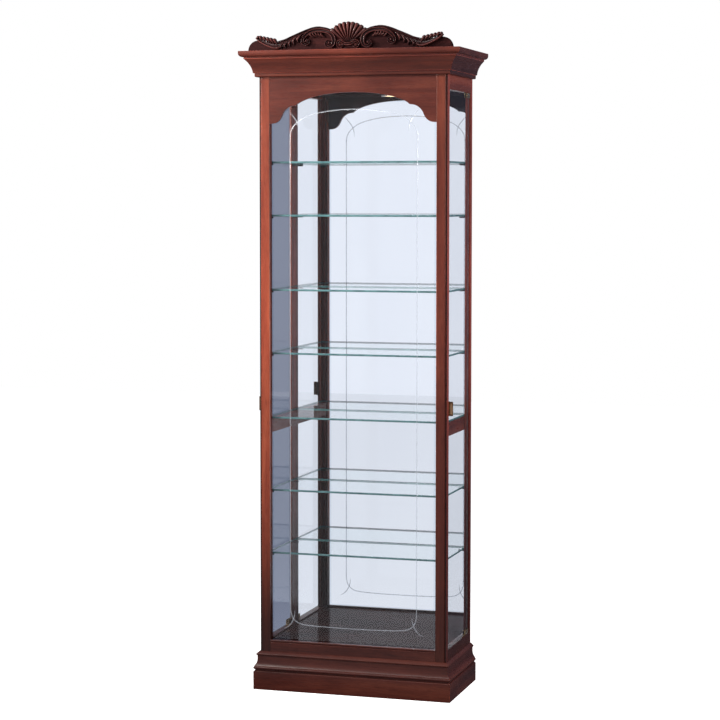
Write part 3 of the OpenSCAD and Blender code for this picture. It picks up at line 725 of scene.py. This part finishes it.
def carve_scroll(name, node, side):
    """A C-scroll that ends in two volutes, its ribs, and a serrated leaf that runs out to the board's ear."""
    bm = bmesh.new()
    inner_volute = spiral(
        (60, 19),
        ((210, 2.2, 1.4, 6), (130, 4.6, 2.2, 7.5), (65, 6.6, 2.8, 8.5), (10, 8.4, 3.4, 9), (-40, 10, 4, 9.5)),
    )
    outer_volute = spiral(
        (131, 26),
        (
            (-40, 11.5, 4.2, 9.5), (-90, 10.6, 3.8, 9), (-145, 9, 3.2, 8.5),
            (165, 7, 2.6, 8), (95, 5, 2, 7), (20, 2.6, 1.3, 6),
        ),
    )
    arch = [
        (60, 7.5, 4.4, 10), (48.5, 12, 5.2, 11), (44, 26, 6, 11.5), (48, 40, 6.2, 11.5),
        (59, 50, 6.2, 11.5), (76, 55.5, 6, 11.5), (95, 57, 6, 11.5), (112, 54.5, 5.8, 11),
        (126, 47.5, 5.5, 10.5), (137, 38, 5, 10), (142.5, 27, 4.6, 10),
    ]
    strand(bm, CARVED_FACE, inner_volute + arch + outer_volute, CHANNEL, side)
    button(bm, CARVED_FACE, 60, 19, 4.2, 8.5, side)
    button(bm, CARVED_FACE, 131, 26, 4.4, 8.5, side)
    # ribs that hang from the top of the C
    for i in range(RIBS):
        x = 80 + RIB_PITCH * i
        top = 53 - 0.12 * (x - 96) ** 2 / 16
        rib = [
            (x + 5, top, 2, 8), (x + 4, top - 6, 3, 10.5), (x, top - 11, 2.8, 9.5),
            (x - 5, top - 13.5, 2, 7), (x - 9, top - 13, 0.7, 3),
        ]
        strand(bm, CARVED_FACE, rib, ROUND, side)
    # a fillet along the board's top edge, over the C-scroll and down to the leaf
    fillet = [
        (50, 55, 1.2, 3), (66, 62.2, 1.5, 4), (84, 65.8, 1.6, 4.5), (99, 66, 1.6, 4.5),
        (126, 60.8, 1.6, 4.5), (152, 51.6, 1.6, 4.5), (179, 40.6, 1.6, 4.5), (200, 31.8, 1.6, 4.5),
        (222, 27, 1.2, 3),
    ]
    strand(bm, CARVED_FACE, fillet, ROUND, side, steps=5)
    # hooked ribs that step down behind the outer volute
    hooks = (
        ((143, 47), (152, 40), (158, 31), (156, 22)),
        ((157, 42), (167, 34), (172, 25), (169, 15)),
        ((171, 35), (180, 27), (185, 19), (182, 9)),
        ((184, 30), (194, 22), (199, 14), (196, 6)),
        ((197, 26), (207, 18), (212, 11), (208, 4)),
    )
    # a hook's half widths and heights; and of the vein beside it, first how far right and up it is
    hook_rib = ((1.2, 4), (3.6, 9), (4.2, 10), (1.8, 6))
    hook_vein = ((6, -1, 0.8, 3), (5, -1, 1.6, 6), (5, -2, 1.8, 6), (6, 1, 0.8, 3))
    for number, hook in enumerate(hooks):
        size = 1 - 0.08 * number
        rib = [(x, z, size * half, size * high) for (x, z), (half, high) in zip(hook, hook_rib)]
        strand(bm, CARVED_FACE, rib, ROUND, side)
        vein = [(x + right, z + up, half, high) for (x, z), (right, up, half, high) in zip(hook, hook_vein)]
        strand(bm, CARVED_FACE, vein, ROUND, side)
    # the leaf: a broad body with a raised lower rim, and lobes along its top
    body = [
        (203, 20, 3, 2), (218, 15, 6, 2.5), (236, 15, 6, 3),
        (254, 20, 6, 3), (270, 27, 5, 3), (284, 37, 3, 3),
    ]
    strand(bm, CARVED_FACE, body, ROUND, side)
    rim = [
        (205, 12, 1.2, 5), (216, 7.5, 2.4, 9.5), (228, 6.4, 3, 11), (243, 10.5, 3.2, 12),
        (262, 18.5, 3.2, 12), (278, 28, 3, 11.5), (289, 38, 2.4, 9.5),
    ]
    strand(bm, CARVED_FACE, rim, ROUND, side)
    for i in range(LOBES):
        x = 226 + LOBE_PITCH * i
        foot = 13 + 0.38 * (x - 226)
        tip = 32 + 0.2 * (x - 226)
        lobe = [
            (x - 6, foot, 1.2, 3), (x - 2, foot + 7, 3.2, 6.5), (x + 2, tip - 5, 4.6, 9.5),
            (x + 5, tip - 0.5, 4.8, 10.5), (x + 7.5, tip + 2.5, 2.8, 8), (x + 8.5, tip + 3.5, 0.8, 4),
        ]
        strand(bm, CARVED_FACE, lobe, ROUND, side, sink=0)
    button(bm, CARVED_FACE, 283, 40.5, 4.6, 10, side)
    bmesh.ops.recalc_face_normals(bm, faces=bm.faces)
    return new_piece(name, bm, [carved_wood], "case", (node,))


FLUTES = 9
# Degrees from one flute to the next, the height of the point they fan out from, and their ground's thickness
FLUTE_PITCH = 12.6
SHELL_FOOT = 14
SHELL_GROUND = 4.0


def carve_shell(name, node):
    """A scallop: a fan of rounded flutes on a thin ground, over a lip with a volute at each end."""
    bm = solid_of(node)
    for vertex in bm.verts:
        vertex.co.y = max(vertex.co.y, CARVED_FACE.y - SHELL_GROUND * MM)
    # along a flute: share of its reach, half width as a share of the distance so far, and height
    flute_rows = (
        (0.14, 0.1, 6), (0.3, 0.1, 10), (0.5, 0.102, 13), (0.72, 0.105, 14.5),
        (0.88, 0.104, 14), (0.95, 0.092, 12.5), (0.985, 0.065, 10), (1.0, 0.02, 7),
    )
    for i in range(FLUTES):
        step = i - (FLUTES - 1) / 2
        lean = math.radians(FLUTE_PITCH * step)
        reach = 67 + 0.3 * step * step
        fall = 1 - 0.022 * step * step
        flute = []
        for share, half, height in flute_rows:
            x = reach * share * math.sin(lean)
            z = SHELL_FOOT + reach * share * math.cos(lean)
            flute.append((x, z, reach * share * half, fall * height))
        strand(bm, CARVED_FACE, flute, ROUND, sink=0)
        ridge = [(x, z, 0.9, height + 1.0) for x, z, half, height in flute[1:6]]
        strand(bm, CARVED_FACE, ridge, ROUND, sink=0)
    for side in (-1, 1):
        lip = [
            (-0.5, 15, 4.2, 15.5), (8, 15.5, 4.2, 15.5), (15, 18.5, 4, 15), (21, 23, 3.8, 15),
            (28.5, 22.5, 3.8, 14), (32.5, 15, 3.8, 13), (28.5, 7.8, 3.6, 13), (21.5, 6.5, 3, 12.5),
            (17, 10.5, 2.6, 12), (18.5, 15.8, 2.2, 11.5), (23, 16, 1.6, 10),
        ]
        strand(bm, CARVED_FACE, lip, CHANNEL, side)
        button(bm, CARVED_FACE, 24, 13, 3.4, 13, side)
        apron = [(-0.5, 6, 3.5, 5), (9, 5.5, 3.5, 5), (18, 4.5, 3, 4)]
        strand(bm, CARVED_FACE, apron, ROUND, side)
    bmesh.ops.recalc_face_normals(bm, faces=bm.faces)
    return new_piece(name, bm, [carved_wood], "case", (node,))


carve_shell("pediment_shell_carving", "pediment_shell")
for side, turn in (("left", -1), ("right", 1)):
    carve_scroll("pediment_scroll_carving_" + side, "pediment_scroll_" + side, turn)
finished("pediment_board", [board_wood], 1.2 * MM)


# ---- mirror and hardware ----


def ring_profile(rows):
    """Lathe rows from millimetres."""
    return [(radius * MM, height * MM) for radius, height in rows]


def silvered_pane(node):
    """The mirror: clear front, painted back, ground edges."""
    low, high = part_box(node)
    bm = bmesh.new()
    for face in add_box(bm, low, high, 1):
        face.normal_update()
        if abs(face.normal.y) > FACING:
            looks_forward = face.calc_center_median().y < (low.y + high.y) / 2
            face.material_index = 0 if looks_forward else 2
    materials = [silver, pane_edge, mirror_back]
    piece = new_piece("mirror_plate", bm, materials, BODY_OF[node], (node,))
    return round_edges(piece, 0.6 * MM, 1, edge_material=1)


def shelf_pegs(node):
    """Steel pins in the case sides, each in a black rubber sleeve with a rounded end."""
    bm = bmesh.new()
    for centre, half in loose_parts(node):
        inward = -1 if centre.x > 0 else 1
        length = 2 * half.x / MM
        rows = (
            (2.0, 0), (2.0, 4), (2.45, 4.4), (2.5, 6),
            (2.5, length - 1.6), (2.1, length - 0.5), (1.2, length),
        )
        start = Vector((centre.x - inward * half.x, centre.y, centre.z))
        lathe(bm, [(r * MM, inward * h * MM) for r, h in rows], start, "X", 16)
    bmesh.ops.recalc_face_normals(bm, faces=bm.faces)
    return new_piece("shelf_peg_sleeves", bm, [black_rubber], BODY_OF[node], (node,))


def screw_head(bm, place, axis, out, radius, material=0):
    """A round screw head with a sunk drive, standing out from place."""
    rows = (
        (radius, -0.4), (radius, 0.25), (0.86 * radius, 0.7), (0.5 * radius, 0.95), (0.42 * radius, 0.9),
        (0.36 * radius, 0.3), (0.05 * radius, 0.25),
    )
    lathe(bm, [(r * MM, out * h * MM) for r, h in rows], place, axis, 18, material)


# The lighter strip on the pull's face, a painted highlight: how far in from its outer end it starts and ends,
# its margin above and below, and how far it stands out of the pull and is sunk in it
INLAY_START = 2.4 * MM
INLAY_END = 10.5 * MM
INLAY_MARGIN = 5 * MM
INLAY_PROUD = 0.35 * MM
INLAY_SINK = 0.4 * MM


def door_hardware(side, outward):
    """Pivot clips with their set screws, and the bronze pull with a lighter strip painted on its face as a
    highlight, of one door.
    """
    body = side + "_door"
    finished(side + "_door_clips", [brass], 0.5 * MM, 2)
    finished(side + "_door_pull", [brass_dark], 0.7 * MM, 2)
    bm = bmesh.new()
    for centre, half in loose_parts(side + "_door_clips"):
        place = Vector((centre.x + outward * half.x, centre.y - 0.25 * half.y, centre.z))
        screw_head(bm, place, "X", outward, 2.0)
    bmesh.ops.recalc_face_normals(bm, faces=bm.faces)
    new_piece(side + "_door_clip_screws", bm, [steel], body)
    low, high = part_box(side + "_door_pull")
    bm = bmesh.new()
    outer_x = high.x if outward > 0 else low.x
    near, far = sorted((outer_x - outward * INLAY_START, outer_x - outward * INLAY_END))
    front = low.y - INLAY_PROUD
    add_box(bm, (near, front, low.z + INLAY_MARGIN), (far, low.y + INLAY_SINK, high.z - INLAY_MARGIN))
    inlay = new_piece(side + "_door_pull_inlay", bm, [pull_tan], body)
    round_edges(inlay, 0.3 * MM, 2)


def leveler(node):
    """Screw foot: a nylon-edged pad, a hexagon to turn it by and a threaded stem."""
    low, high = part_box(node)
    centre = Vector(((low.x + high.x) / 2, (low.y + high.y) / 2, low.z))
    bm = bmesh.new()
    pad = ((11.6, 0), (12.8, 0.5), (13, 1.2), (13, 3.2), (12.6, 4.2), (11, 4.8), (7, 5), (5, 5.4))
    lathe(bm, ring_profile(pad), centre, "Z", 40, 1)
    hexagon = ((6.6, 4.8), (7, 5.3), (7, 7.6), (6.5, 8))
    lathe(bm, ring_profile(hexagon), centre, "Z", 6, 0)
    top = (high.z - low.z) / MM
    root, crest, pitch = 3.4, 3.98, 1.5
    thread = [(root, 7)]
    height = 8.5
    while height < top - 2 * pitch:
        thread += [(root, height), (crest, height + 0.5 * pitch)]
        height += pitch
    thread += [(root, height), (root, top - 0.8), (2.6, top)]
    lathe(bm, ring_profile(thread), centre, "Z", 20, 0)
    bmesh.ops.recalc_face_normals(bm, faces=bm.faces)
    piece = new_piece(node + "_foot", bm, [steel, black_rubber], BODY_OF[node], (node,))
    return round_edges(piece, 0.15 * MM, 1, angle=50)


def block_screws():
    """Screws that hold each corner block to the plinth, two on each of its inner faces."""
    bm = bmesh.new()
    radius = 4.2
    for centre, half in loose_parts("corner_blocks"):
        for lift in (-0.5, 0.5):
            to_middle_x = -1 if centre.x > 0 else 1
            to_middle_y = -1 if centre.y > 0 else 1
            height = centre.z + lift * half.z
            side_face = Vector((centre.x + to_middle_x * half.x, centre.y, height))
            end_face = Vector((centre.x, centre.y + to_middle_y * half.y, height))
            screw_head(bm, side_face, "X", to_middle_x, radius)
            screw_head(bm, end_face, "Y", to_middle_y, radius)
    bmesh.ops.recalc_face_normals(bm, faces=bm.faces)
    new_piece("corner_block_screws", bm, [steel], "case")


# Flat nails of the back panel, in rows up its sides and between them along its top and foot
NAIL = ((2.6, -0.5), (2.6, 0.15), (2.2, 0.4), (0.2, 0.45))
NAIL_PROUD = 0.5 * MM
NAIL_MARGIN = 9 * MM
NAILS_UP = 13
NAILS_ACROSS = 4


def nailed_back(node):
    """The plywood back, with flat nails round its edge whose heads stand just proud of it."""
    low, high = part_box(node)
    high.y -= NAIL_PROUD
    bm = bmesh.new()
    add_box(bm, low, high)
    panel = new_piece("back_panel_board", bm, [plywood], BODY_OF[node], (node,))
    round_edges(panel, 0.5 * MM, 2)
    bm = bmesh.new()
    left, right = low.x + NAIL_MARGIN, high.x - NAIL_MARGIN
    foot, top = low.z + NAIL_MARGIN, high.z - NAIL_MARGIN
    for i in range(NAILS_UP):
        z = foot + (top - foot) * i / (NAILS_UP - 1)
        for x in (left, right):
            lathe(bm, ring_profile(NAIL), (x, high.y, z), "Y", 12)
    for i in range(1, NAILS_ACROSS + 1):
        x = left + (right - left) * i / (NAILS_ACROSS + 1)
        for z in (foot, top):
            lathe(bm, ring_profile(NAIL), (x, high.y, z), "Y", 12)
    bmesh.ops.recalc_face_normals(bm, faces=bm.faces)
    new_piece("back_panel_nails", bm, [steel], "case")


def reflector_bulb(node):
    """A frosted reflector bulb with a threaded metal cap."""
    low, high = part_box(node)
    radius = (high.x - low.x) / 2
    height = high.z - low.z
    centre = Vector(((low.x + high.x) / 2, (low.y + high.y) / 2, low.z))
    shape = (
        (0.02, 0.0), (0.35, 0.012), (0.7, 0.05), (0.92, 0.12), (1.0, 0.22), (0.99, 0.3),
        (0.9, 0.42), (0.72, 0.54), (0.56, 0.63), (0.47, 0.7), (0.44, 0.74),
    )
    bm = bmesh.new()
    lathe(bm, [(radius * r, height * h) for r, h in shape], centre, "Z", 40, 0)
    cap = [(0.42, 0.73)]
    turns = 6
    for i in range(turns):
        start = 0.74 + 0.22 * i / turns
        cap += [(0.42, start), (0.45, start + 0.11 / turns)]
    cap += [(0.42, 0.96), (0.3, 0.99), (0.18, 1.0)]
    lathe(bm, [(radius * r, height * h) for r, h in cap], centre, "Z", 32, 1)
    bmesh.ops.recalc_face_normals(bm, faces=bm.faces)
    return new_piece("lamp_bulb_glass", bm, [bulb_glow, brass], BODY_OF[node], (node,))


silvered_pane("mirror")
shelf_pegs("shelf_clips")
door_hardware("left", -1)
door_hardware("right", 1)
for place in ("front_left", "front_right", "rear_left", "rear_right"):
    leveler("leveler_" + place)
block_screws()
nailed_back("back_panel")
reflector_bulb("lamp_bulb")
finished("lamp_can", [lamp_metal], 0.4 * MM)
finished("hinge_bushes", [brass], 0.2 * MM, 1)
finished("leveler_inserts", [steel], 0.3 * MM, 1)


# ---- stage, light and camera ----

# Share of the studio's light that reaches the piece as soft light from all round
AMBIENT = 0.28
FLOOR_REACH = 9.0


class StudioNodes(Nodes):
    """The light-path switches that the floor and the backdrop share, in either one's node tree."""

    def __init__(self, tree):
        self.tree = tree
        self.path = self.add("LightPath")

    def above_zero(self, name):
        """1 where the ray's count of that name is not 0."""
        node = self.add("Math", operation="GREATER_THAN")
        node.inputs[1].default_value = 0.5
        self.link(self.path.outputs[name], node.inputs[0])
        return node.outputs[0]

    def smooth_step(self, socket, start, end):
        """A number that eases from 0 to 1 while the socket goes from start to end."""
        node = self.add("MapRange", interpolation_type="SMOOTHSTEP")
        node.inputs["From Min"].default_value = start
        node.inputs["From Max"].default_value = end
        self.link(socket, node.inputs["Value"])
        return node.outputs[0]

    def mix(self, fac, first, second):
        return self.blend("MIX", fac, first, second)

    def for_ray(self, direct, through_glass, mirrored, lighting):
        """One colour for the eye, one seen through panes, one in reflections and one that lights."""
        seen = self.mix(self.above_zero("Transparent Depth"), direct, through_glass)
        other = self.mix(self.above_zero("Diffuse Depth"), mirrored, lighting)
        return self.mix(self.path.outputs["Is Camera Ray"], other, seen)


def make_floor():
    """Plain pale floor, which reflections see bright in front of the cabinet and dark behind it."""
    m = Nodes("pale_floor")
    studio = StudioNodes(m.tree)
    shade = m.noise(m.place(), 2.0)
    diffuse = m.add("BsdfDiffuse")
    tone = m.ramp(shade, ((0.3, (0.9, 0.9, 0.9)), (0.7, (0.93, 0.93, 0.93))))
    behind = studio.smooth_step(m.coordinate("Y"), -0.45, -0.25)
    shine = studio.mix(behind, (0.88, 0.89, 0.95), (0.06, 0.06, 0.08))
    own = studio.for_ray(tone, (0.1, 0.11, 0.14), (0.05, 0.05, 0.05), (0.3, 0.3, 0.3))
    m.link(own, diffuse.inputs["Color"])
    glow = m.add("Emission", Strength=1.0)
    light = studio.for_ray((0.92, 0.92, 0.92), (0.14, 0.16, 0.23), shine, (0.04, 0.04, 0.04))
    m.link(light, glow.inputs["Color"])
    both = m.add("AddShader")
    m.link(diffuse.outputs[0], both.inputs[0])
    m.link(glow.outputs[0], both.inputs[1])
    m.finish(both)
    bm = bmesh.new()
    corners = ((-1, -1), (1, -1), (1, 1), (-1, 1))
    bm.faces.new([bm.verts.new((x * FLOOR_REACH, y * FLOOR_REACH, 0)) for x, y in corners])
    mesh = bpy.data.meshes.new("floor")
    bm.to_mesh(mesh)
    bm.free()
    floor = bpy.data.objects.new("floor", mesh)
    SCENE.collection.objects.link(floor)
    mesh.materials.append(m.material)


def make_world():
    """White backdrop for the eye; for light and reflections a studio, brighter in front and to the left."""
    world = bpy.data.worlds.new("studio")
    world.use_nodes = True
    SCENE.world = world
    world.node_tree.nodes.clear()
    studio = StudioNodes(world.node_tree)
    place = studio.add("TexCoord")
    split = studio.add("SeparateXYZ")
    studio.link(place.outputs["Generated"], split.inputs[0])
    behind = studio.smooth_step(split.outputs["Y"], -0.5, 0.5)
    right = studio.smooth_step(split.outputs["X"], -0.2, 0.35)
    front_light = studio.mix(right, (1.0, 1.01, 1.08), (0.44, 0.46, 0.54))
    back_light = studio.mix(right, (0.21, 0.23, 0.31), (0.1, 0.1, 0.14))
    mirrored = studio.mix(behind, front_light, back_light)
    lighting = studio.mix(1 - AMBIENT, mirrored, (0.0, 0.0, 0.0))
    background = studio.add("Background")
    studio.link(studio.for_ray((1.0, 1.0, 1.0), mirrored, mirrored, lighting), background.inputs["Color"])
    output = studio.add("OutputWorld")
    studio.link(background.outputs[0], output.inputs["Surface"])


def area_light(name, place, target, width, height, power, colour, spread):
    """A soft box at place that points at target, unseen by the camera."""
    data = bpy.data.lights.new(name, "AREA")
    data.shape = "RECTANGLE"
    data.size = width
    data.size_y = height
    data.energy = power
    data.color = colour
    data.spread = math.radians(spread)
    light = bpy.data.objects.new(name, data)
    SCENE.collection.objects.link(light)
    light.location = place
    light.rotation_mode = "QUATERNION"
    light.rotation_quaternion = (Vector(target) - Vector(place)).to_track_quat("-Z", "Y")
    light.visible_camera = False
    return light


def make_lights():
    """Soft boxes round the cabinet, and the glow of its own lamp."""
    area_light("key", (-1.25, -1.25, 2.0), (-0.15, -0.1, 1.25), 0.5, 0.9, 17, (1.0, 0.93, 0.86), 120)
    area_light("fill", (1.9, -0.6, 1.7), (0.3, 0.05, 1.1), 0.7, 1.2, 10, (1.0, 0.95, 0.95), 110)
    area_light("top", (-0.6, -1.6, 3.1), (0.0, -0.15, 1.9), 1.0, 0.5, 7, (1.0, 0.97, 0.95), 120)
    rim = area_light("rim", (1.3, 1.9, 1.8), (0.1, 0.15, 1.1), 0.8, 1.4, 12, (1.0, 0.94, 0.92), 120)
    rim.visible_glossy = False
    area_light("glint", (-3.2, -1.5, 2.9), (0.0, -0.15, 1.99), 0.12, 0.12, 9, (1.0, 0.95, 0.9), 40)
    glow = bpy.data.lights.new("lamp_glow", "POINT")
    glow.energy = 0.8
    glow.color = (1.0, 0.62, 0.3)
    glow.shadow_soft_size = 0.02
    lamp = bpy.data.objects.new("lamp_glow", glow)
    SCENE.collection.objects.link(lamp)
    low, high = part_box("lamp_bulb")
    lamp.location = ((low.x + high.x) / 2, (low.y + high.y) / 2, low.z - 2 * MM)
    lamp.visible_camera = False
    lamp.visible_glossy = False


CAMERA_PLACE = (1.8854, -6.2813, 1.5078)
# Degrees that the camera turns to the left of straight ahead, and dips
CAMERA_TURN = 17.204
CAMERA_DIP = 3.604


def make_camera():
    """The photographed view: slightly from the right and above, verticals nearly upright."""
    data = bpy.data.cameras.new("camera")
    camera = bpy.data.objects.new("camera", data)
    SCENE.collection.objects.link(camera)
    SCENE.camera = camera
    data.sensor_width = 36
    data.lens = 107.68
    data.shift_x = 0.02
    data.shift_y = -0.04
    turn = math.radians(CAMERA_TURN)
    dip = math.radians(CAMERA_DIP)
    level = math.cos(dip)
    ahead = Vector((-math.sin(turn) * level, math.cos(turn) * level, -math.sin(dip)))
    camera.location = CAMERA_PLACE
    camera.rotation_mode = "QUATERNION"
    camera.rotation_quaternion = ahead.to_track_quat("-Z", "Y")
    data.clip_start = 0.1
    data.clip_end = 100


make_floor()
make_world()
make_lights()
make_camera()
SCENE.view_settings.view_transform = "Standard"
SCENE.cycles.transparent_max_bounces = 40
SCENE.cycles.max_bounces = 14
SCENE.cycles.glossy_bounces = 8
SCENE.cycles.diffuse_bounces = 4
SCENE.cycles.caustics_reflective = False
